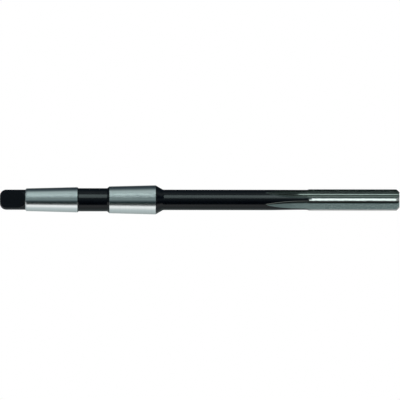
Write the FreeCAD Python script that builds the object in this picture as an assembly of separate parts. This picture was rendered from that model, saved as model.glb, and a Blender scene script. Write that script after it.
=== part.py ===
import FreeCAD, Part
import math
import os

os.makedirs("parts", exist_ok=True)

# A machine reamer with a tanged Morse taper shank, turned and ground from one bar.
# Millimetres. The tool lies along X with its tang towards -X and its cutting end towards +X.
# +Z is up, and the flats of the tang face -Y and +Y.
# The origin is on the tool's axis, in the gauge plane of the taper.
# Lengths named "..._station" and the profile's places are measured from the end of the tang.

# Whole tool
OVERALL_LENGTH = 168.0
NECK_DIAMETER = 8.6

# Morse taper No. 1 with a tang
GAUGE_DIAMETER = 12.065
TAPER_RATIO = 20.047             # length over which the diameter grows by one
GAUGE_STATION = 62.0
SHANK_LENGTH = 65.5              # from the end of the tang to the taper's large end
RELIEF_DIAMETER = 9.75           # plain waist between the two ground bands of the taper
RELIEF_START_STATION = 32.6
RELIEF_END_STATION = 46.1
RELIEF_FLANK_ANGLE = 38.0

# Tang
TANG_LENGTH = 10.75
TANG_DIAMETER = 8.48
TANG_THICKNESS = 5.2
TANG_END_RADIUS = 2.8            # turned rounding of the end
TANG_CUTTER_RADIUS = 5.0         # the milled flats run out on this radius
TANG_RUN_OUT_CLEARANCE = 0.05    # between the end of that run-out and the taper

# Shoulder between the shank and the neck
SHOULDER_ANGLE = 30.0
SHOULDER_FILLET = 1.5

# Cutting head
REAMER_DIAMETER = 9.3
CUTTING_LENGTH = 38.0
REAR_CHAMFER_ANGLE = 27.0
LEAD_ANGLE = 45.0
LEAD_LENGTH = 1.3

# Teeth: straight, right-hand cutting, unequally spaced so that the tool doesn't chatter.
# Angles are in degrees, from the direction -Y towards +Z.
TOOTH_GAPS = [72.8, 67.1, 73.0, 73.1, 74.0]
FIRST_EDGE_ANGLE = -144.8
MARGIN_WIDTH = 0.25              # narrow cylindrical margin behind each cutting edge
LAND_WIDTH = 1.0                 # margin and relieved land together
LAND_RELIEF_ANGLE = 10.0
LEAD_RELIEF_ANGLE = 8.0

# Flutes, ground by a wheel that lifts out into the neck
CORE_DIAMETER = 5.1
ROOT_FILLET = 0.4
WHEEL_RADIUS = 68.0
FLUTE_OVERRUN = 2.0              # full flute depth behind the cutting length

# Centre holes: 60 degree cones with a pilot
CENTRE_CONE_ANGLE = 60.0
DRILL_POINT_ANGLE = 118.0
TANG_CENTRE = {"pilot_diameter": 1.25, "pilot_length": 1.6, "cone_diameter": 2.65}
FRONT_CENTRE = {"pilot_diameter": 1.6, "pilot_length": 2.0, "cone_diameter": 3.35}

AIR = 1.0                        # how far each cutter reaches past the metal it removes

X_AXIS = FreeCAD.Vector(1, 0, 0)
NECK_RADIUS = NECK_DIAMETER / 2
REAMER_RADIUS = REAMER_DIAMETER / 2
CORE_RADIUS = CORE_DIAMETER / 2
TANG_RADIUS = TANG_DIAMETER / 2
RELIEF_RADIUS = RELIEF_DIAMETER / 2
HEAD_STATION = OVERALL_LENGTH - CUTTING_LENGTH


def tan(degrees):
    return math.tan(math.radians(degrees))


def place_x(station):
    """X of a place given by its distance from the end of the tang."""
    return station - GAUGE_STATION


def taper_radius(station):
    """Radius of the Morse taper at a station along the shank."""
    return (GAUGE_DIAMETER + (station - GAUGE_STATION) / TAPER_RATIO) / 2


def side(points):
    """Edges of one open outline; a tuple of three points is an arc, and a pair is a straight line."""
    edges = []
    for stretch in points:
        if len(stretch) == 3:
            edges.append(Part.Arc(*stretch).toShape())
        else:
            edges.append(Part.LineSegment(*stretch).toShape())
    return edges


def closed_face(stretches):
    return Part.Face(Part.Wire(side(stretches)))


class AngularFrame:
    """Directions at one angle round the tool: "out" is radial, and "back" is square to it, along a land."""

    def __init__(self, edge_angle):
        angle = math.radians(edge_angle)
        self.out = FreeCAD.Vector(0, -math.cos(angle), math.sin(angle))
        self.back = FreeCAD.Vector(0, math.sin(angle), math.cos(angle))

    def point(self, station, back, out):
        return X_AXIS * place_x(station) + self.back * back + self.out * out


def turned(outline):
    """Revolves an outline of (station, radius) points about the tool's axis; an arc is three of them.

    The seam of the turning lies along the middle of a flute, which cuts it away from the head.
    """
    seam = AngularFrame(FIRST_EDGE_ANGLE + TOOTH_GAPS[0] / 2)
    stretches = [tuple(seam.point(station, 0, radius) for station, radius in stretch) for stretch in outline]
    return closed_face(stretches).revolve(FreeCAD.Vector(), X_AXIS, 360)


def joined(corners):
    """Straight stretches from each corner to the next."""
    return list(zip(corners[:-1], corners[1:]))


def turned_blank():
    """The whole tool before its flats, centre holes, flutes and lands are cut."""
    end_radius = TANG_RADIUS - TANG_END_RADIUS
    half_turn = TANG_END_RADIUS * math.sqrt(0.5)
    tang_end = (
        (0, end_radius),
        (TANG_END_RADIUS - half_turn, end_radius + half_turn),
        (TANG_END_RADIUS, TANG_RADIUS),
    )

    small_end_chamfer = taper_radius(TANG_LENGTH) - TANG_RADIUS
    taper_start = TANG_LENGTH + small_end_chamfer
    waist_start = RELIEF_START_STATION
    waist_end = RELIEF_END_STATION
    first_flank = (taper_radius(waist_start) - RELIEF_RADIUS) / tan(RELIEF_FLANK_ANGLE)
    second_flank = (taper_radius(waist_end) - RELIEF_RADIUS) / tan(RELIEF_FLANK_ANGLE)
    shank = joined([
        (TANG_END_RADIUS, TANG_RADIUS),
        (TANG_LENGTH, TANG_RADIUS),
        (taper_start, taper_radius(taper_start)),
        (waist_start, taper_radius(waist_start)),
        (waist_start + first_flank, RELIEF_RADIUS),
        (waist_end - second_flank, RELIEF_RADIUS),
        (waist_end, taper_radius(waist_end)),
        (SHANK_LENGTH, taper_radius(SHANK_LENGTH)),
    ])

    large_radius = taper_radius(SHANK_LENGTH)
    corner = SHANK_LENGTH + (large_radius - NECK_RADIUS) / tan(SHOULDER_ANGLE)
    tangent = SHOULDER_FILLET * tan(SHOULDER_ANGLE / 2)
    slope = math.radians(SHOULDER_ANGLE)
    cone_end = (corner - tangent * math.cos(slope), NECK_RADIUS + tangent * math.sin(slope))
    fillet_middle = (
        corner + tangent - SHOULDER_FILLET * math.sin(slope / 2),
        NECK_RADIUS + SHOULDER_FILLET * (1 - math.cos(slope / 2)),
    )
    neck_start = (corner + tangent, NECK_RADIUS)
    shoulder = [((SHANK_LENGTH, large_radius), cone_end), (cone_end, fillet_middle, neck_start)]

    rear_chamfer = (REAMER_RADIUS - NECK_RADIUS) / tan(REAR_CHAMFER_ANGLE)
    front_radius = REAMER_RADIUS - LEAD_LENGTH * tan(LEAD_ANGLE)
    head = joined([
        neck_start,
        (HEAD_STATION - rear_chamfer, NECK_RADIUS),
        (HEAD_STATION, REAMER_RADIUS),
        (OVERALL_LENGTH - LEAD_LENGTH, REAMER_RADIUS),
        (OVERALL_LENGTH, front_radius),
        (OVERALL_LENGTH, 0),
        (0, 0),
        (0, end_radius),
    ])
    return turned([tang_end] + shank + shoulder + head)


def tang_flat_cutter(direction):
    """Removes one side of the tang and runs out on the milling cutter's radius."""
    face_y = TANG_THICKNESS / 2
    depth = TANG_RADIUS - face_y
    run_out = math.sqrt(TANG_CUTTER_RADIUS ** 2 - (TANG_CUTTER_RADIUS - depth) ** 2)
    flat_end = TANG_LENGTH - TANG_RUN_OUT_CLEARANCE - run_out
    half_turn = TANG_CUTTER_RADIUS * math.sqrt(0.5)
    top_y = face_y + TANG_CUTTER_RADIUS

    def point(station, y):
        return FreeCAD.Vector(place_x(station), direction * y, -TANG_RADIUS - AIR)

    stretches = [
        (point(-AIR, face_y), point(flat_end, face_y)),
        (
            point(flat_end, face_y),
            point(flat_end + half_turn, top_y - half_turn),
            point(flat_end + TANG_CUTTER_RADIUS, top_y),
        ),
        (point(flat_end + TANG_CUTTER_RADIUS, top_y), point(-AIR, top_y)),
        (point(-AIR, top_y), point(-AIR, face_y)),
    ]
    return closed_face(stretches).extrude(FreeCAD.Vector(0, 0, TANG_DIAMETER + 2 * AIR))


def centre_hole_cutter(size, face_station, inward):
    """A 60 degree centre cone and its drilled pilot, in from one end of the tool."""
    pilot_radius = size["pilot_diameter"] / 2
    cone_radius = size["cone_diameter"] / 2
    half_cone = tan(CENTRE_CONE_ANGLE / 2)
    cone_depth = (cone_radius - pilot_radius) / half_cone
    pilot_depth = cone_depth + size["pilot_length"]
    point_depth = pilot_depth + pilot_radius / tan(DRILL_POINT_ANGLE / 2)

    def at(depth, radius):
        return (face_station + inward * depth, radius)

    corners = [
        at(-AIR, 0),
        at(-AIR, cone_radius + AIR * half_cone),
        at(cone_depth, pilot_radius),
        at(pilot_depth, pilot_radius),
        at(point_depth, 0),
        at(-AIR, 0),
    ]
    return turned(joined(corners))


def flute_section(frame, gap_angle, station):
    """Closed section of the flute in front of one tooth, with the bisector of its V."""
    land_angle = math.degrees(LAND_WIDTH / REAMER_RADIUS)
    heel_angle = math.radians(gap_angle - land_angle)
    heel = (-REAMER_RADIUS * math.sin(heel_angle), REAMER_RADIUS * math.cos(heel_angle))
    slope = math.atan2(heel[1] - CORE_RADIUS, -heel[0])
    half_angle = (math.pi / 2 - slope) / 2
    reach = REAMER_DIAMETER

    def on_back(distance):
        return frame.point(station, -distance * math.cos(slope), CORE_RADIUS + distance * math.sin(slope))

    def on_bisector(distance):
        lean = math.pi / 2 - half_angle
        return frame.point(station, -distance * math.cos(lean), CORE_RADIUS + distance * math.sin(lean))

    tangent = ROOT_FILLET / math.tan(half_angle)
    root_depth = ROOT_FILLET / math.sin(half_angle) - ROOT_FILLET
    face_foot = frame.point(station, 0, CORE_RADIUS + tangent)
    face_top = frame.point(station, 0, CORE_RADIUS + reach)
    section = closed_face([
        (on_back(reach), on_back(tangent)),
        (on_back(tangent), on_bisector(root_depth), face_foot),
        (face_foot, face_top),
        (face_top, on_back(reach)),
    ])
    wheel_centre = on_bisector(root_depth + WHEEL_RADIUS)
    bisector = (on_bisector(AIR) - on_bisector(0)).normalize()
    return section, wheel_centre, bisector


def flute_cutter(edge_angle, gap_angle):
    """One flute: straight along the head, then lifting out of the neck on the wheel's radius."""
    frame = AngularFrame(edge_angle)
    full_depth_station = HEAD_STATION - FLUTE_OVERRUN
    section, wheel_centre, bisector = flute_section(frame, gap_angle, full_depth_station)
    straight_length = OVERALL_LENGTH - full_depth_station + AIR
    straight = section.extrude(X_AXIS * straight_length)
    lift = NECK_RADIUS + AIR - CORE_RADIUS
    sweep = math.degrees(math.acos(1 - lift / WHEEL_RADIUS))
    wheel_axis = bisector.cross(X_AXIS)
    lifting = section.revolve(wheel_centre, wheel_axis, sweep)
    return straight.fuse(lifting).removeSplitter()


def land_relief_cutter(edge_angle):
    """Grinds the land behind the margin down to a flat with clearance."""
    frame = AngularFrame(edge_angle)
    margin = MARGIN_WIDTH / REAMER_RADIUS
    start = (REAMER_RADIUS * math.sin(margin), REAMER_RADIUS * math.cos(margin))
    drop = margin + math.radians(LAND_RELIEF_ANGLE)
    reach = LAND_WIDTH + AIR
    end = (start[0] + reach * math.cos(drop), start[1] - reach * math.sin(drop))
    station = HEAD_STATION - (REAMER_RADIUS - NECK_RADIUS) / tan(REAR_CHAMFER_ANGLE)
    corners = [start, end, (end[0], start[1] + AIR), (start[0], start[1] + AIR), start]
    section = closed_face(joined([frame.point(station, *corner) for corner in corners]))
    return section.extrude(X_AXIS * (OVERALL_LENGTH + AIR - station))


def lead_relief_cutter(edge_angle):
    """Grinds clearance behind the 45 degree leading edge of one tooth."""
    frame = AngularFrame(edge_angle)
    lead = math.radians(LEAD_ANGLE)
    along = X_AXIS * math.cos(lead) - frame.out * math.sin(lead)
    outward = X_AXIS * math.sin(lead) + frame.out * math.cos(lead)
    clearance = math.radians(LEAD_RELIEF_ANGLE)
    behind = frame.back * math.cos(clearance) - outward * math.sin(clearance)
    edge_start = frame.point(OVERALL_LENGTH - LEAD_LENGTH, 0, REAMER_RADIUS)
    edge_length = LEAD_LENGTH / math.cos(lead)
    first = edge_start - along * AIR
    last = edge_start + along * (edge_length + AIR)
    corners = [first, last, last + outward * AIR, first + outward * AIR, first]
    return closed_face(joined(corners)).extrude(behind * (LAND_WIDTH + MARGIN_WIDTH))


def reamer():
    cutters = [
        tang_flat_cutter(-1),
        tang_flat_cutter(1),
        centre_hole_cutter(TANG_CENTRE, 0, 1),
        centre_hole_cutter(FRONT_CENTRE, OVERALL_LENGTH, -1),
    ]
    edge_angle = FIRST_EDGE_ANGLE
    for gap_angle in TOOTH_GAPS:
        edge_angle += gap_angle
        cutters.append(flute_cutter(edge_angle, gap_angle))
        cutters.append(land_relief_cutter(edge_angle))
        cutters.append(lead_relief_cutter(edge_angle))
    body = turned_blank()
    for cutter in cutters:
        body = body.cut(cutter)
    return body.removeSplitter()


solid = reamer().Solids[0]
solid.exportStep("parts/reamer.step")
print("reamer", "valid" if solid.isValid() else "NOT VALID", "volume", round(solid.Volume, 2), "mm3",
      "faces", len(solid.Faces))
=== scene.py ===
import math

import bmesh
import bpy
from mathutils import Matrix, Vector


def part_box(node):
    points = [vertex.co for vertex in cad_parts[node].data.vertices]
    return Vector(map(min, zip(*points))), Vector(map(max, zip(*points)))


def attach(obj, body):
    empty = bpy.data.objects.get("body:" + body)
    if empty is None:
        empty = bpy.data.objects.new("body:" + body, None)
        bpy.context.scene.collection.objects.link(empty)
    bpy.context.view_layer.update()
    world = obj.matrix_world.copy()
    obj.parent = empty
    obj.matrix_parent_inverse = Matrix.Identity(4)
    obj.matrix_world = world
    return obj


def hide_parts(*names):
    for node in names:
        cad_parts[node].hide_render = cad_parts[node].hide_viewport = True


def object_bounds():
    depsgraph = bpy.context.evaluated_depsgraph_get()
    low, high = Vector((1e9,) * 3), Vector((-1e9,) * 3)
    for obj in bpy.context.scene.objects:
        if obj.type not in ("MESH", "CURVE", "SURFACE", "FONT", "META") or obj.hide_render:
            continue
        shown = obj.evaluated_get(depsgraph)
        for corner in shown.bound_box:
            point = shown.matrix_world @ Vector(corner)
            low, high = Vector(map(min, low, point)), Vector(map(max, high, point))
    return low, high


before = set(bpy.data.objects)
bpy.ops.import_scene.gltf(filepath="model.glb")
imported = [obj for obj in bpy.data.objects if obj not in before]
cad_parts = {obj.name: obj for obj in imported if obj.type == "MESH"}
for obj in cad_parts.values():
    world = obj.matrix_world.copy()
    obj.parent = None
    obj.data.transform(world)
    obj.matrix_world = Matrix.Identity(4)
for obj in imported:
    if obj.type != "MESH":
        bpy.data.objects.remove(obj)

cad_low, cad_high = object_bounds()

# A machine reamer: black oxide over the whole turned tool, then the taper bands, the flutes and the
# lands of the cutting head ground bright. The finished tool takes the place of the solid in the frame,
# point for point, with finer rings and broken edges. Lengths are in millimetres along the tool from
# the end of its tang, and angles in degrees from the direction -Y towards +Z, unless they say otherwise.

MM = 0.001
tool_low, tool_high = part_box("reamer")
TANG_END_X = tool_low.x
OVERALL_LENGTH = (tool_high.x - tool_low.x) / MM

# Shank
GAUGE_DIAMETER = 12.065
GAUGE_STATION = 62.0
TAPER_RATIO = 20.047
SHANK_LENGTH = 65.5
WAIST_RADIUS = 4.875
WAIST_START = 32.6
WAIST_END = 46.1
WAIST_FLANK_ANGLE = 38.0
TANG_LENGTH = 10.75
TANG_RADIUS = 4.24
TANG_HALF_THICKNESS = 2.6
TANG_END_RADIUS = 2.8
TANG_CUTTER_RADIUS = 5.0
TANG_RUN_OUT_CLEARANCE = 0.05
SHOULDER_ANGLE = 30.0
SHOULDER_FILLET = 1.5
NECK_RADIUS = 4.3

# Cutting head
HEAD_RADIUS = 4.65
CUTTING_LENGTH = 38.0
REAR_CHAMFER_ANGLE = 27.0
LEAD_ANGLE = 45.0
LEAD_LENGTH = 1.3
TOOTH_GAPS = [72.8, 67.1, 73.0, 73.1, 74.0]
FIRST_EDGE_ANGLE = -144.8
MARGIN_WIDTH = 0.25
LAND_WIDTH = 1.0
LAND_RELIEF_ANGLE = 10.0
LEAD_RELIEF_ANGLE = 8.0
CORE_RADIUS = 2.55
ROOT_FILLET = 0.4
WHEEL_RADIUS = 68.0
FLUTE_OVERRUN = 2.0

# Centre holes: pilot radius, pilot length, cone radius at the mouth
TANG_CENTRE = (0.625, 1.6, 1.325)
FRONT_CENTRE = (0.8, 2.0, 1.675)
CENTRE_CONE_ANGLE = 60.0
DRILL_POINT_ANGLE = 118.0

# Turned corners: how far they are broken, and how far handling rubs them
EDGE_BREAK = 0.07
WEAR_WIDTH = 0.35

# Steps of the outline along the tool
DOME_STEPS = 14
TANG_STEPS = 30
BAND_STEPS = 8
WAIST_STEPS = 5
FILLET_STEPS = 8
NECK_STEPS = 24
RUN_OUT_STEPS = 56
RUN_OUT_CROWDING = 1.6           # above one, the rings crowd towards the tip of the run-out
HEAD_STEPS = 24
LEAD_STEPS = 4

# Steps round the head: each flute from heel to cutting edge, then the land behind that edge
BACK_STEPS = 8
BOTTOM_PAINTED_SHADE_STEPS = 1                 # of the back, the ones beside the root, painted near black as shade
SHADED_STEPS = 1                 # of the back, the ones before those, painted darker than the rest as shade with the cutting face's steel
ROOT_STEPS = 8
FACE_STEPS = 5
LAND_STEPS = 28
MARGIN_STEPS = 3
FLUTE_POINTS = BACK_STEPS + ROOT_STEPS + FACE_STEPS + 1
RING_PITCH = FLUTE_POINTS + LAND_STEPS - 1

# Searches for the place where two forms meet
HALVINGS = 40
RIM_STEPS = 60                   # each way from the middle of the wheel's rim
RIM_STEPS_PER_MM = 40
HAIR = 1e-6                      # a length too short to count

MERGE_DISTANCE = 2e-7            # metres
SHARP_ANGLE = 24.0

# Finishes of the skin, in the order of the tool's materials; the cutting face and the flute bottom carry
# painted shade
FINISHES = ["oxide", "ground taper", "flute back", "cutting face", "land", "flute bottom painted shade"]

HEAD_START = OVERALL_LENGTH - CUTTING_LENGTH
LEAD_START = OVERALL_LENGTH - LEAD_LENGTH
FULL_DEPTH_START = HEAD_START - FLUTE_OVERRUN
REAR_CHAMFER_START = HEAD_START - (HEAD_RADIUS - NECK_RADIUS) / math.tan(math.radians(REAR_CHAMFER_ANGLE))
EDGES = [FIRST_EDGE_ANGLE + sum(TOOTH_GAPS[:tooth + 1]) for tooth in range(len(TOOTH_GAPS))]
TEETH = len(EDGES)


def tan(degrees):
    return math.tan(math.radians(degrees))


def taper_radius(station):
    return (GAUGE_DIAMETER + (station - GAUGE_STATION) / TAPER_RATIO) / 2


# ---------------------------------------------------------------- the turned outline

def arc(centre, radius, start, end, steps):
    """Points of an arc in the (station, radius) plane; angles in degrees."""
    turns = [math.radians(start + (end - start) * step / steps) for step in range(steps + 1)]
    return [(centre[0] + radius * math.cos(turn), centre[1] + radius * math.sin(turn)) for turn in turns]


def broken(before, corner, after):
    """Points that break a sharp turned corner by a hair, between two that end its wear."""
    corner = Vector(corner)
    back = (Vector(before) - corner).normalized()
    forth = (Vector(after) - corner).normalized()
    first = corner + back * EDGE_BREAK
    last = corner + forth * EDGE_BREAK
    middle = (first + last + corner * 2) / 4
    worn = [(*point, 1.0) for point in (first, middle, last)]
    return [(*(corner + back * WEAR_WIDTH), 0.0), *worn, (*(corner + forth * WEAR_WIDTH), 0.0)]


def unworn(points):
    """The same (station, radius) points with no wear."""
    return [(*point, 0.0) for point in points]


def evenly(start, end, steps):
    """Unworn points between two points of the outline, without the ends."""
    start, end = Vector(start), Vector(end)
    return unworn(tuple(start.lerp(end, step / steps)) for step in range(1, steps))


def turned_outline():
    """(station, radius, wear) points from the rim of the tang's centre hole to the start of the neck."""
    dome_centre = (TANG_END_RADIUS, TANG_RADIUS - TANG_END_RADIUS)
    dome = arc(dome_centre, TANG_END_RADIUS, 180, 90, DOME_STEPS)
    small_end = taper_radius(TANG_LENGTH) - TANG_RADIUS
    foot = (TANG_LENGTH, TANG_RADIUS)
    taper_start = (TANG_LENGTH + small_end, taper_radius(TANG_LENGTH + small_end))
    first_end = (WAIST_START, taper_radius(WAIST_START))
    first_flank = (WAIST_START + (first_end[1] - WAIST_RADIUS) / tan(WAIST_FLANK_ANGLE), WAIST_RADIUS)
    second_start = (WAIST_END, taper_radius(WAIST_END))
    second_flank = (WAIST_END - (second_start[1] - WAIST_RADIUS) / tan(WAIST_FLANK_ANGLE), WAIST_RADIUS)
    large_end = (SHANK_LENGTH, taper_radius(SHANK_LENGTH))
    corner = SHANK_LENGTH + (large_end[1] - NECK_RADIUS) / tan(SHOULDER_ANGLE)
    tangent = SHOULDER_FILLET * tan(SHOULDER_ANGLE / 2)
    fillet_centre = (corner + tangent, NECK_RADIUS + SHOULDER_FILLET)
    fillet = arc(fillet_centre, SHOULDER_FILLET, 270 - SHOULDER_ANGLE, 270, FILLET_STEPS)
    outline = unworn(dome) + evenly(dome[-1], foot, TANG_STEPS) + unworn([foot])
    outline += broken(foot, taper_start, first_end)
    outline += evenly(taper_start, first_end, BAND_STEPS)
    outline += broken(taper_start, first_end, first_flank)
    outline += unworn([first_flank]) + evenly(first_flank, second_flank, WAIST_STEPS)
    outline += unworn([second_flank]) + broken(second_flank, second_start, large_end)
    outline += evenly(second_start, large_end, BAND_STEPS)
    outline += broken(second_start, large_end, fillet[0])
    return outline + unworn(fillet)


def blank_radius(station):
    """Radius of the turned blank from the neck forwards."""
    if station <= REAR_CHAMFER_START:
        return NECK_RADIUS
    if station <= HEAD_START:
        return NECK_RADIUS + (station - REAR_CHAMFER_START) * tan(REAR_CHAMFER_ANGLE)
    if station <= LEAD_START:
        return HEAD_RADIUS
    return HEAD_RADIUS - (station - LEAD_START) * tan(LEAD_ANGLE)


# ---------------------------------------------------------------- the flutes

class Flute:
    """One flute as its grinding wheel leaves it, in the plane square to the tool at any station."""

    def __init__(self, edge, gap):
        self.edge = math.radians(edge)
        heel = math.radians(gap) - LAND_WIDTH / HEAD_RADIUS
        heel_rise = HEAD_RADIUS * math.cos(heel) - CORE_RADIUS
        slope = math.atan2(heel_rise, HEAD_RADIUS * math.sin(heel))
        self.half = (math.pi / 2 - slope) / 2
        self.tangent = ROOT_FILLET / math.tan(self.half)
        self.bottom = ROOT_FILLET / math.sin(self.half) - ROOT_FILLET
        self.root_arc = ROOT_FILLET * (math.pi / 2 - self.half)

    def wheel_point(self, along):
        """Height and side of the wheel's rim, at a distance from its middle; + is the cutting face."""
        side = math.copysign(1, along)
        reach = abs(along)
        if reach <= self.root_arc:
            turn = reach / ROOT_FILLET
            return self.bottom + ROOT_FILLET * (1 - math.cos(turn)), side * ROOT_FILLET * math.sin(turn)
        flank = self.tangent + reach - self.root_arc
        return flank * math.cos(self.half), side * flank * math.sin(self.half)

    def point(self, along, station):
        """(y, z) of that point of the rim where the wheel stands at a station."""
        height, sideways = self.wheel_point(along)
        offset = max(0.0, FULL_DEPTH_START - station)
        rim = WHEEL_RADIUS + self.bottom - height
        height = self.bottom + WHEEL_RADIUS - math.sqrt(rim * rim - offset * offset)
        lean = math.pi / 2 - self.half
        back = -height * math.cos(lean) + sideways * math.sin(lean)
        out = CORE_RADIUS + height * math.sin(lean) + sideways * math.cos(lean)
        return (
            -math.cos(self.edge) * out + math.sin(self.edge) * back,
            math.sin(self.edge) * out + math.cos(self.edge) * back,
        )


def outer_radius(station, angle, edge):
    """Radius of the ground tooth at an angle, behind the cutting edge it follows (both in radians)."""
    radius = blank_radius(station)
    behind = angle - edge
    margin = MARGIN_WIDTH / HEAD_RADIUS
    if behind > margin and station > REAR_CHAMFER_START:
        relief = math.radians(LAND_RELIEF_ANGLE)
        land = HEAD_RADIUS * math.cos(relief) / math.cos(behind - margin - relief)
        radius = min(radius, land)
    if station > LEAD_START and behind > 0:
        lead = math.radians(LEAD_ANGLE)
        clearance = math.radians(LEAD_RELIEF_ANGLE)
        rise = HEAD_RADIUS * math.cos(lead) - (station - LEAD_START) * math.sin(lead)
        lean = math.tan(clearance)
        radius = min(radius, rise / (math.cos(behind) * math.cos(lead) + math.sin(behind) * lean))
    return radius


def where_it_leaves(flute, station, edge, start, end):
    """The place along the wheel's rim, from start to end, where the flute meets the tooth's outside."""
    for _ in range(HALVINGS):
        middle = (start + end) / 2
        y, z = flute.point(middle, station)
        angle = edge + (math.atan2(z, -y) - edge) % (2 * math.pi)
        if math.hypot(y, z) < outer_radius(station, angle, edge):
            start = middle
        else:
            end = middle
    return (start + end) / 2


def deepest(flute, station):
    """Place along the rim that comes nearest the tool's axis, and that distance."""
    places = [step / RIM_STEPS_PER_MM for step in range(-RIM_STEPS, RIM_STEPS + 1)]
    return min((math.hypot(*flute.point(place, station)), place) for place in places)


def run_out_start(flute):
    """Station where the flute first touches the neck."""
    low, high = HEAD_START - CUTTING_LENGTH, FULL_DEPTH_START
    for _ in range(HALVINGS):
        middle = (low + high) / 2
        if deepest(flute, middle)[0] < NECK_RADIUS:
            high = middle
        else:
            low = middle
    return high


FLUTES = [Flute(edge, gap) for edge, gap in zip(EDGES, TOOTH_GAPS)]
TIP_STATION = max(run_out_start(flute) for flute in FLUTES)


def tip_angle(flute):
    y, z = flute.point(deepest(flute, TIP_STATION)[1], TIP_STATION)
    return math.atan2(z, -y)


TIP_ANGLES = [tip_angle(flute) for flute in FLUTES]


def flute_span(number, station):
    """Both ends of a flute along its wheel's rim at a station, or None where there is no flute yet."""
    flute = FLUTES[number]
    radius, middle = deepest(flute, station)
    if radius >= blank_radius(station) - HAIR or station <= TIP_STATION:
        return None
    tooth_before = math.radians(EDGES[number - 1])
    far = 2 * HEAD_RADIUS
    face = where_it_leaves(flute, station, math.radians(EDGES[number]), middle, far)
    heel = where_it_leaves(flute, station, tooth_before, middle, -far)
    return heel, face


def flute_points(number, station):
    """(y, z) points of a flute from its heel, down its back, round its root and up its cutting face."""
    span = flute_span(number, station)
    if span is None:
        angle = TIP_ANGLES[number]
        radius = blank_radius(station)
        return [(-math.cos(angle) * radius, math.sin(angle) * radius)] * FLUTE_POINTS
    flute = FLUTES[number]
    heel, face = span
    root_start = min(max(-flute.root_arc, heel), face)
    root_end = max(min(flute.root_arc, face), heel)
    stretches = [
        (heel, root_start, BACK_STEPS),
        (root_start, root_end, ROOT_STEPS),
        (root_end, face, FACE_STEPS),
    ]
    places = [heel]
    for start, end, steps in stretches:
        places += [start + (end - start) * step / steps for step in range(1, steps + 1)]
    return [flute.point(place, station) for place in places]


def land_points(station, start, end, edge):
    """(y, z) points over the top of one tooth, between its cutting edge and its heel (both in radians)."""
    end = start + (end - start) % (2 * math.pi)
    margin_end = edge + MARGIN_WIDTH / HEAD_RADIUS
    angles = [start + (end - start) * step / LAND_STEPS for step in range(1, LAND_STEPS)]
    if station >= REAR_CHAMFER_START and margin_end < end:
        relieved = LAND_STEPS - MARGIN_STEPS
        angles = [start + (margin_end - start) * step / MARGIN_STEPS for step in range(1, MARGIN_STEPS)]
        angles += [margin_end + (end - margin_end) * step / relieved for step in range(relieved)]
    radii = [outer_radius(station, angle, edge) for angle in angles]
    return [(-math.cos(angle) * radius, math.sin(angle) * radius) for angle, radius in zip(angles, radii)]


def fluted_ring(station):
    """One ring of the tool from the neck forwards: each flute, then the tooth behind its cutting face."""
    flutes = [flute_points(number, station) for number in range(TEETH)]
    ring = []
    for number in range(TEETH):
        following = flutes[(number + 1) % TEETH]
        face_top, heel = flutes[number][-1], following[0]
        start = math.atan2(face_top[1], -face_top[0])
        end = math.atan2(heel[1], -heel[0])
        edge = math.radians(EDGES[number])
        edge += 2 * math.pi * round((start - edge) / (2 * math.pi))
        ring += flutes[number] + land_points(station, start, end, edge)
    return ring


def ring_angles():
    """Angles of a plain ring, matching the first fluted ring point for point."""
    return [math.atan2(z, -y) for y, z in fluted_ring(TIP_STATION)]


RING_ANGLES = ring_angles()


# ---------------------------------------------------------------- plain rings

def tang_half_width(station):
    """Half the distance over the milled flats at a station, past them a width that cuts nothing."""
    depth = TANG_RADIUS - TANG_HALF_THICKNESS
    run_out = math.sqrt(TANG_CUTTER_RADIUS ** 2 - (TANG_CUTTER_RADIUS - depth) ** 2)
    past = station - (TANG_LENGTH - TANG_RUN_OUT_CLEARANCE - run_out)
    if past <= 0:
        return TANG_HALF_THICKNESS
    if past >= TANG_CUTTER_RADIUS:
        return 2 * TANG_RADIUS
    return TANG_HALF_THICKNESS + TANG_CUTTER_RADIUS - math.sqrt(TANG_CUTTER_RADIUS ** 2 - past ** 2)


def plain_ring(radius, half_width=None):
    """A circle, with two flats where half_width is less than the radius."""
    angles = list(RING_ANGLES)
    if half_width is not None and half_width < radius:
        corner = math.acos(half_width / radius)
        for target in (corner, -corner, math.pi - corner, corner - math.pi):
            shared = min(angles, key=lambda angle: abs(math.remainder(angle - target, 2 * math.pi)))
            angles = [target if angle == shared else angle for angle in angles]
    ring = []
    for angle in angles:
        reach = radius
        if half_width is not None:
            reach = min(radius, half_width / max(HAIR, abs(math.cos(angle))))
        ring.append((-math.cos(angle) * reach, math.sin(angle) * reach))
    return ring


def centre_hole_rings(size, face_station, inward):
    """(station, ring) pairs of a centre hole from its drilled point out to its mouth."""
    pilot_radius, pilot_length, cone_radius = size
    cone_depth = (cone_radius - pilot_radius) / tan(CENTRE_CONE_ANGLE / 2)
    pilot_depth = cone_depth + pilot_length
    point_depth = pilot_depth + pilot_radius / tan(DRILL_POINT_ANGLE / 2)
    drilled = [(point_depth, 0.0), (pilot_depth, pilot_radius)]
    cone = [(cone_depth, pilot_radius), (0.0, cone_radius)]
    return [(face_station + inward * depth, plain_ring(radius)) for depth, radius in drilled + cone]


# ---------------------------------------------------------------- the solid

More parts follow.
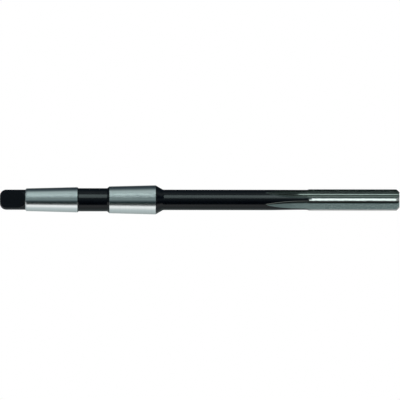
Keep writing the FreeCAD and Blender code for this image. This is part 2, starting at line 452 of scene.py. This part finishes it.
def along_tool():
    """(station, ring, finish of the skin that follows, wear) from one centre hole to the other."""
    rows = [(station, ring, "oxide", 0.0) for station, ring in centre_hole_rings(TANG_CENTRE, 0.0, 1)]
    outline = turned_outline()
    for station, radius, wear in outline:
        if TANG_LENGTH - EDGE_BREAK < station < WAIST_START or WAIST_END <= station < SHANK_LENGTH:
            finish = "ground taper"
        else:
            finish = "oxide"
        rows.append((station, plain_ring(radius, tang_half_width(station)), finish, wear))
    neck_start = outline[-1][0]
    rows += [
        (neck_start + (TIP_STATION - neck_start) * step / NECK_STEPS, plain_ring(NECK_RADIUS), "oxide", 0.0)
        for step in range(1, NECK_STEPS)
    ]
    run_out = FULL_DEPTH_START - TIP_STATION
    stations = [
        TIP_STATION + run_out * (step / RUN_OUT_STEPS) ** RUN_OUT_CROWDING
        for step in range(RUN_OUT_STEPS + 1)
    ]
    stations += [REAR_CHAMFER_START, HEAD_START]
    head = LEAD_START - HEAD_START
    stations += [HEAD_START + head * step / HEAD_STEPS for step in range(1, HEAD_STEPS + 1)]
    stations += [LEAD_START + LEAD_LENGTH * step / LEAD_STEPS for step in range(1, LEAD_STEPS + 1)]
    rows += [(station, fluted_ring(station), "flutes", 0.0) for station in stations]
    front_hole = reversed(centre_hole_rings(FRONT_CENTRE, OVERALL_LENGTH, -1))
    return rows + [(station, ring, "oxide", 0.0) for station, ring in front_hole]


def finish_of(kind, station, column):
    """Finish of one face between two rings: the flutes and the teeth are ground bright, with painted shade
    as darker steel on the cutting face and the root, and near black beside the root.
    """
    if kind != "flutes":
        return kind
    if station >= OVERALL_LENGTH - HAIR:
        return "oxide"
    place = column % RING_PITCH
    if place < BACK_STEPS - BOTTOM_PAINTED_SHADE_STEPS - SHADED_STEPS:
        return "flute back"
    # The back's columns beside the root: painted shade, near black
    if BACK_STEPS - BOTTOM_PAINTED_SHADE_STEPS <= place < BACK_STEPS:
        return "flute bottom painted shade"
    # The root, the cutting face and the back's shaded columns: steel darkened as painted shade
    if place < BACK_STEPS + ROOT_STEPS + FACE_STEPS:
        return "cutting face"
    return "oxide" if station < HEAD_START - HAIR else "land"


def build_tool():
    """The whole tool as one closed skin of rings, with a finish for each of its faces."""
    rows = along_tool()
    bm = bmesh.new()
    rings = []
    worn = bm.verts.layers.float.new("worn")
    for station, ring, _, wear in rows:
        rings.append([bm.verts.new((TANG_END_X + station * MM, y * MM, z * MM)) for y, z in ring])
        for vertex in rings[-1]:
            vertex[worn] = wear
    count = len(rings[0])
    for (station, _, kind, _), ring, following in zip(rows, rings, rings[1:]):
        for column in range(count):
            after = (column + 1) % count
            face = bm.faces.new((ring[column], following[column], following[after], ring[after]))
            face.material_index = FINISHES.index(finish_of(kind, station, column))
            face.smooth = True
    bmesh.ops.remove_doubles(bm, verts=bm.verts, dist=MERGE_DISTANCE)
    bmesh.ops.recalc_face_normals(bm, faces=bm.faces)
    mesh = bpy.data.meshes.new("reamer_body")
    bm.to_mesh(mesh)
    bm.free()
    mesh.set_sharp_from_angle(angle=math.radians(SHARP_ANGLE))
    tool = bpy.data.objects.new("reamer_body", mesh)
    bpy.context.scene.collection.objects.link(tool)
    return tool


# ---------------------------------------------------------------- nodes

def node(tree, kind, inputs=None, **settings):
    """Adds a node, sets what it is told, and fills or links its inputs by name or by number."""
    made = tree.nodes.new(kind)
    for name, value in settings.items():
        setattr(made, name, value)
    for name, value in (inputs or {}).items():
        socket = made.inputs[name]
        if isinstance(value, bpy.types.NodeSocket):
            tree.links.new(value, socket)
        else:
            socket.default_value = value
    return made


def math_node(tree, operation, *values):
    return node(tree, "ShaderNodeMath", dict(enumerate(values)), operation=operation).outputs[0]


def ramp_node(tree, value, stops, interpolation="LINEAR"):
    """A colour ramp from (place, colour) stops."""
    made = node(tree, "ShaderNodeValToRGB", {"Fac": value})
    ramp = made.color_ramp
    ramp.interpolation = interpolation
    for place, colour in stops[1:-1]:
        ramp.elements.new(place).color = (*colour, 1)
    ramp.elements[0].position, ramp.elements[0].color = stops[0][0], (*stops[0][1], 1)
    ramp.elements[-1].position, ramp.elements[-1].color = stops[-1][0], (*stops[-1][1], 1)
    return made.outputs["Color"]


# ---------------------------------------------------------------- the studio

# What the room shows at each height round the tool: degrees above the horizon in front of it, through
# the ceiling at 90 to the wall behind it at 180, and through the pale table at -90. Long soft panels.
# The strip lamp is a narrow one over the middle, with its own heights and half width.
ROOM = [
    (-180, (0.30, 0.34, 0.34)),
    (-130, (0.47, 0.55, 0.55)),
    (-100, (0.58, 0.68, 0.69)),
    (-84, (0.80, 0.87, 0.87)),
    (-74, (1.10, 1.16, 1.16)),
    (-62, (1.20, 1.25, 1.25)),
    (-56, (0.90, 0.95, 0.95)),
    (-49, (0.00, 0.01, 0.01)),
    (-24, (0.00, 0.01, 0.01)),
    (-18, (0.03, 0.05, 0.06)),
    (-7, (0.12, 0.16, 0.17)),
    (3, (0.23, 0.31, 0.31)),
    (14, (0.18, 0.24, 0.24)),
    (26, (0.03, 0.05, 0.06)),
    (40, (0.00, 0.01, 0.02)),
    (50, (0.06, 0.09, 0.09)),
    (61, (0.40, 0.50, 0.50)),
    (76, (0.50, 0.62, 0.62)),
    (88, (0.30, 0.38, 0.38)),
    (101, (0.10, 0.14, 0.15)),
    (118, (0.04, 0.06, 0.07)),
    (140, (0.02, 0.03, 0.04)),
    (180, (0.30, 0.34, 0.34)),
]
LAMP_COLOUR = (4.5, 5.6, 5.5)
LAMP_HEIGHTS = [(13, 0.0), (27, 0.8), (48, 1.0), (60, 0.0)]
LAMP_HALF_WIDTH = 0.05
LAMP_SOFT_EDGE = 0.03


def build_world():
    world = bpy.data.worlds.new("studio")
    bpy.context.scene.world = world
    world.use_nodes = True
    tree = world.node_tree
    tree.nodes.clear()
    direction = node(tree, "ShaderNodeTexCoord").outputs["Generated"]
    split = node(tree, "ShaderNodeSeparateXYZ", {0: direction})
    toward_front = math_node(tree, "MULTIPLY", split.outputs["Y"], -1.0)
    height = math_node(tree, "ARCTAN2", split.outputs["Z"], toward_front)
    place = math_node(tree, "MULTIPLY_ADD", height, 1 / (2 * math.pi), 0.5)
    room = ramp_node(tree, place, [((angle + 180) / 360, colour) for angle, colour in ROOM])
    lamp_stops = [((angle + 180) / 360, (strength,) * 3) for angle, strength in LAMP_HEIGHTS]
    lamp_height = ramp_node(tree, place, lamp_stops, "EASE")
    sideways = math_node(tree, "ABSOLUTE", split.outputs["X"])
    lamp_width = node(tree, "ShaderNodeMapRange", {
        "Value": sideways, "From Min": LAMP_HALF_WIDTH + LAMP_SOFT_EDGE, "From Max": LAMP_HALF_WIDTH,
        "To Min": 0.0, "To Max": 1.0,
    }).outputs["Result"]
    lamp_share = math_node(tree, "MULTIPLY", lamp_width, lamp_height)
    lamp = node(tree, "ShaderNodeVectorMath", {0: LAMP_COLOUR, "Scale": lamp_share}, operation="SCALE")
    light = node(tree, "ShaderNodeVectorMath", {0: room, 1: lamp.outputs[0]}, operation="ADD")
    studio = node(tree, "ShaderNodeBackground", {"Color": light.outputs[0], "Strength": 1.0})
    white = node(tree, "ShaderNodeBackground", {"Color": (1, 1, 1, 1), "Strength": 1.0})
    seen = node(tree, "ShaderNodeLightPath").outputs["Is Camera Ray"]
    mixed = node(tree, "ShaderNodeMixShader", {0: seen, 1: studio.outputs[0], 2: white.outputs[0]})
    node(tree, "ShaderNodeOutputWorld", {"Surface": mixed.outputs[0]})


# ---------------------------------------------------------------- finishes

# Black oxide: its base where the bath left it deep and thin, the steel under it, and how it shines
OXIDE_DEEP = (0.0010, 0.0016, 0.0038, 1)
OXIDE_THIN = (0.0026, 0.0036, 0.0058, 1)
RUBBED_STEEL = (0.10, 0.11, 0.115, 1)
OXIDE_ROUGHNESS = (0.13, 0.21)
OXIDE_SPECULAR = 0.23
TURNED_LAY = {"Along": 3200.0, "Around": 40.0, "Coarse_Share": 0.5}
OXIDE_CLOUDS = {"Along": 70.0, "Around": 300.0, "Contrast": 1.3}
OXIDE_WEAR = {"Amount": 0.42, "Scale": 700.0}
TURNED_BUMP = {"Strength": 0.35, "Distance": 0.000004}

# Ground steel: how quickly its scratches change along and round the tool, per metre
ROUND_LAY = {"Along": 6500.0, "Around": 60.0, "Coarse_Share": 0.45}
LONG_LAY = {"Along": 60.0, "Around": 5200.0, "Coarse_Share": 0.35}
ROUND_TURN = 0.25
LONG_TURN = 0.0
STEEL_CLOUDS = {"Along": 90.0, "Around": 200.0, "Contrast": 0.8}
GROUND_BUMP = {"Strength": 0.4, "Distance": 0.000002}
ROUGHNESS_SWING = 0.1

# Name, dark and light steel, roughness, turn of the lay, lay: in the order of FINISHES, after the oxide
GROUND_FINISHES = [
    ("taper_ground_round", (0.80, 0.81, 0.81), (0.90, 0.90, 0.90), 0.36, ROUND_TURN, ROUND_LAY),
    ("flute_back_ground", (0.64, 0.67, 0.64), (0.73, 0.75, 0.72), 0.15, LONG_TURN, LONG_LAY),
    # Dark steel on the cutting face and the root: painted shade
    ("cutting_face_painted_shade", (0.16, 0.17, 0.16), (0.23, 0.24, 0.22), 0.13, LONG_TURN, LONG_LAY),
    ("land_ground_satin", (0.62, 0.565, 0.555), (0.69, 0.63, 0.615), 0.25, LONG_TURN, LONG_LAY),
    # Near black steel in the flute bottom: painted shade
    ("flute_bottom_painted_shade", (0.012, 0.014, 0.013), (0.03, 0.033, 0.03), 0.2, LONG_TURN, LONG_LAY),
]

# Noise stays between these two, and coarse passes have this share of the fine scratches' scale
NOISE_LOW = 0.3
NOISE_HIGH = 0.7
COARSE_SCALE = 0.21

# Noise and wear together: where rubbing starts to show, and where it has gone through
RUBBED_FROM = 0.72
RUBBED_THROUGH = 1.05

# Sockets of a colour mix that share their names with others
MIX_FIRST_COLOUR = 6
MIX_SECOND_COLOUR = 7
MIX_COLOUR_RESULT = 2


def new_group(name, inputs, outputs):
    """An empty shader group with number inputs and their first values, and its outputs by socket type."""
    tree = bpy.data.node_groups.new(name, "ShaderNodeTree")
    for label, value in inputs.items():
        socket = tree.interface.new_socket(label, in_out="INPUT", socket_type="NodeSocketFloat")
        socket.default_value = value
    for label, kind in outputs.items():
        tree.interface.new_socket(label, in_out="OUTPUT", socket_type=kind)
    return tree, tree.nodes.new("NodeGroupInput"), tree.nodes.new("NodeGroupOutput")


def stretched_place(tree, along, around):
    """The place on the tool, stretched by one factor along it and by another across it."""
    place = node(tree, "ShaderNodeTexCoord").outputs["Object"]
    stretch = node(tree, "ShaderNodeCombineXYZ", {"X": along, "Y": around, "Z": around})
    product = node(tree, "ShaderNodeVectorMath", {0: place, 1: stretch.outputs[0]}, operation="MULTIPLY")
    return product.outputs[0]


def grinding_marks_group():
    """Fine scratches left by the wheel or the turning tool, with coarser passes among them."""
    tree, given, made = new_group(
        "grinding_marks",
        {"Along": 1000.0, "Around": 1000.0, "Coarse Share": 0.4},
        {"Height": "NodeSocketFloat", "Shade": "NodeSocketFloat"},
    )
    place = stretched_place(tree, given.outputs["Along"], given.outputs["Around"])
    fine = node(tree, "ShaderNodeTexNoise", {
        "Vector": place, "Scale": 1.0, "Detail": 4.0, "Roughness": 0.65,
    })
    coarse = node(tree, "ShaderNodeTexNoise", {
        "Vector": place, "Scale": COARSE_SCALE, "Detail": 2.0, "Roughness": 0.5,
    })
    mixed = node(tree, "ShaderNodeMix", {
        "Factor": given.outputs["Coarse Share"], "A": fine.outputs["Fac"], "B": coarse.outputs["Fac"],
    })
    shade = node(tree, "ShaderNodeMapRange", {
        "Value": mixed.outputs["Result"], "From Min": NOISE_LOW, "From Max": NOISE_HIGH,
        "To Min": 0.0, "To Max": 1.0,
    })
    tree.links.new(mixed.outputs["Result"], made.inputs["Height"])
    tree.links.new(shade.outputs["Result"], made.inputs["Shade"])
    return tree


def mottle_group():
    """Slow, cloudy changes of a finish, such as bath stains and oil left in the surface."""
    tree, given, made = new_group(
        "mottle",
        {"Along": 120.0, "Around": 260.0, "Contrast": 1.0},
        {"Shade": "NodeSocketFloat"},
    )
    place = stretched_place(tree, given.outputs["Along"], given.outputs["Around"])
    cloud = node(tree, "ShaderNodeTexNoise", {
        "Vector": place, "Scale": 1.0, "Detail": 5.0, "Roughness": 0.6,
    })
    centred = math_node(tree, "SUBTRACT", cloud.outputs["Fac"], 0.5)
    shade = math_node(tree, "MULTIPLY_ADD", centred, given.outputs["Contrast"], 0.5)
    tree.links.new(shade, made.inputs["Shade"])
    return tree


def edge_wear_group():
    """Where handling has rubbed a turned edge: broken patches that fade away from the edge."""
    tree, given, made = new_group(
        "edge_wear",
        {"Amount": 0.5, "Scale": 900.0},
        {"Mask": "NodeSocketFloat"},
    )
    edge = node(tree, "ShaderNodeAttribute", attribute_name="worn").outputs["Fac"]
    place = node(tree, "ShaderNodeTexCoord").outputs["Object"]
    patches = node(tree, "ShaderNodeTexNoise", {
        "Vector": place, "Scale": given.outputs["Scale"], "Detail": 3.0,
    })
    share = math_node(tree, "MULTIPLY", edge, given.outputs["Amount"])
    rubbed = math_node(tree, "ADD", share, patches.outputs["Fac"])
    mask = node(tree, "ShaderNodeMapRange", {
        "Value": rubbed, "From Min": RUBBED_FROM, "From Max": RUBBED_THROUGH, "To Min": 0.0, "To Max": 1.0,
    })
    tree.links.new(mask.outputs["Result"], made.inputs["Mask"])
    return tree


def use_group(tree, group, **values):
    """A group in a material, with its inputs set by name; an underscore stands for a space."""
    made = node(tree, "ShaderNodeGroup", node_tree=group)
    for label, value in values.items():
        made.inputs[label.replace("_", " ")].default_value = value
    return made


def mixed_colour(tree, share, first, second):
    """Two colours by a share that changes over the surface."""
    places = {"Factor": share, MIX_FIRST_COLOUR: first, MIX_SECOND_COLOUR: second}
    return node(tree, "ShaderNodeMix", places, data_type="RGBA").outputs[MIX_COLOUR_RESULT]


def spread(tree, share, low, high):
    """A number between low and high by a share from 0 to 1."""
    return math_node(tree, "MULTIPLY_ADD", share, high - low, low)


def new_material(name):
    material = bpy.data.materials.new(name)
    material.use_nodes = True
    tree = material.node_tree
    tree.nodes.clear()
    shader = node(tree, "ShaderNodeBsdfPrincipled")
    node(tree, "ShaderNodeOutputMaterial", {"Surface": shader.outputs[0]})
    return material, tree, shader


def black_oxide(marks, mottle, wear):
    """Hot black oxide over turned steel: blue-black, half glossy, rubbed thin along the edges."""
    material, tree, shader = new_material("black_oxide")
    turned = use_group(tree, marks, **TURNED_LAY)
    clouds = use_group(tree, mottle, **OXIDE_CLOUDS)
    rubbed = use_group(tree, wear, **OXIDE_WEAR)
    skin = mixed_colour(tree, clouds.outputs["Shade"], OXIDE_DEEP, OXIDE_THIN)
    colour = mixed_colour(tree, rubbed.outputs["Mask"], skin, RUBBED_STEEL)
    tree.links.new(colour, shader.inputs["Base Color"])
    gloss = spread(tree, clouds.outputs["Shade"], *OXIDE_ROUGHNESS)
    tree.links.new(gloss, shader.inputs["Roughness"])
    shader.inputs["Specular IOR Level"].default_value = OXIDE_SPECULAR
    bump = node(tree, "ShaderNodeBump", {"Height": turned.outputs["Height"], **TURNED_BUMP})
    tree.links.new(bump.outputs["Normal"], shader.inputs["Normal"])
    return material


def ground_steel(marks, mottle, name, dark, light, roughness, turn, lay):
    """Ground steel. Its scratches spread the light across their own direction."""
    material, tree, shader = new_material(name)
    scratches = use_group(tree, marks, **lay)
    clouds = use_group(tree, mottle, **STEEL_CLOUDS)
    shade = math_node(tree, "MULTIPLY_ADD", clouds.outputs["Shade"], 0.5, 0.0)
    shade = math_node(tree, "MULTIPLY_ADD", scratches.outputs["Shade"], 0.5, shade)
    tree.links.new(mixed_colour(tree, shade, (*dark, 1), (*light, 1)), shader.inputs["Base Color"])
    dull, bright = roughness * (1 + ROUGHNESS_SWING), roughness * (1 - ROUGHNESS_SWING)
    tree.links.new(spread(tree, shade, dull, bright), shader.inputs["Roughness"])
    shader.inputs["Metallic"].default_value = 1.0
    shader.inputs["Anisotropic"].default_value = 1.0
    shader.inputs["Anisotropic Rotation"].default_value = turn
    tangent = node(tree, "ShaderNodeTangent", direction_type="RADIAL", axis="X")
    tree.links.new(tangent.outputs[0], shader.inputs["Tangent"])
    bump = node(tree, "ShaderNodeBump", {"Height": scratches.outputs["Height"], **GROUND_BUMP})
    tree.links.new(bump.outputs["Normal"], shader.inputs["Normal"])
    return material


def finish_tool(tool):
    """Gives the tool its finishes, in the order of FINISHES."""
    marks, mottle, wear = grinding_marks_group(), mottle_group(), edge_wear_group()
    tool.data.materials.append(black_oxide(marks, mottle, wear))
    for finish in GROUND_FINISHES:
        tool.data.materials.append(ground_steel(marks, mottle, *finish))


# ---------------------------------------------------------------- floor and lamp

FLOOR_HALF_SIZE = 1.5
FLOOR_CELLS = 8
TABLE_COLOUR = (0.9, 0.9, 0.9, 1)
TABLE_ROUGHNESS = 0.7
CEILING_LAMP_AT = (0.0, -0.35, 0.8)
CEILING_LAMP_SIZE = (0.7, 0.5)
CEILING_LAMP_WATTS = 5.0


def build_floor(low):
    """A pale table under the tool, which takes its shadow."""
    bm = bmesh.new()
    bmesh.ops.create_grid(bm, x_segments=FLOOR_CELLS, y_segments=FLOOR_CELLS, size=FLOOR_HALF_SIZE)
    mesh = bpy.data.meshes.new("table")
    bm.to_mesh(mesh)
    bm.free()
    floor = bpy.data.objects.new("table", mesh)
    bpy.context.scene.collection.objects.link(floor)
    floor.location.z = low.z
    material, _, shader = new_material("table_white")
    shader.inputs["Base Color"].default_value = TABLE_COLOUR
    shader.inputs["Roughness"].default_value = TABLE_ROUGHNESS
    mesh.materials.append(material)
    floor.visible_glossy = False


def ceiling_lamp():
    """A soft lamp over the table, in front of the tool, that looks at its middle."""
    data = bpy.data.lights.new("ceiling_lamp", "AREA")
    data.shape = "RECTANGLE"
    data.size, data.size_y = CEILING_LAMP_SIZE
    data.energy = CEILING_LAMP_WATTS
    lamp = bpy.data.objects.new("ceiling_lamp", data)
    bpy.context.scene.collection.objects.link(lamp)
    lamp.location = CEILING_LAMP_AT
    lamp.rotation_mode = "QUATERNION"
    lamp.rotation_quaternion = (-Vector(CEILING_LAMP_AT)).to_track_quat("-Z", "Y")
    lamp.visible_glossy = False
    lamp.visible_camera = False


build_world()
tool = build_tool()
finish_tool(tool)
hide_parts("reamer")
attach(tool, "root")
build_floor(cad_low)
ceiling_lamp()

# ---------------------------------------------------------------- camera

# Metres from the middle of the tool, and degrees
FRAME_MARGIN = 0.0005
CAMERA_SIDESTEP = 0.00017
CAMERA_DISTANCE = 0.6
CAMERA_LIFT = -0.00004
CAMERA_ROLL = -0.066

camera_data = bpy.data.cameras.new("side_camera")
camera_data.type = "ORTHO"
camera_data.ortho_scale = (cad_high.x - cad_low.x) * (1 + FRAME_MARGIN)
camera = bpy.data.objects.new("side_camera", camera_data)
bpy.context.scene.collection.objects.link(camera)
camera.location = ((cad_low.x + cad_high.x) / 2 + CAMERA_SIDESTEP, -CAMERA_DISTANCE, CAMERA_LIFT)
camera.rotation_euler = (math.radians(90), math.radians(CAMERA_ROLL), 0)
bpy.context.scene.camera = camera
bpy.context.scene.view_settings.view_transform = "Standard"
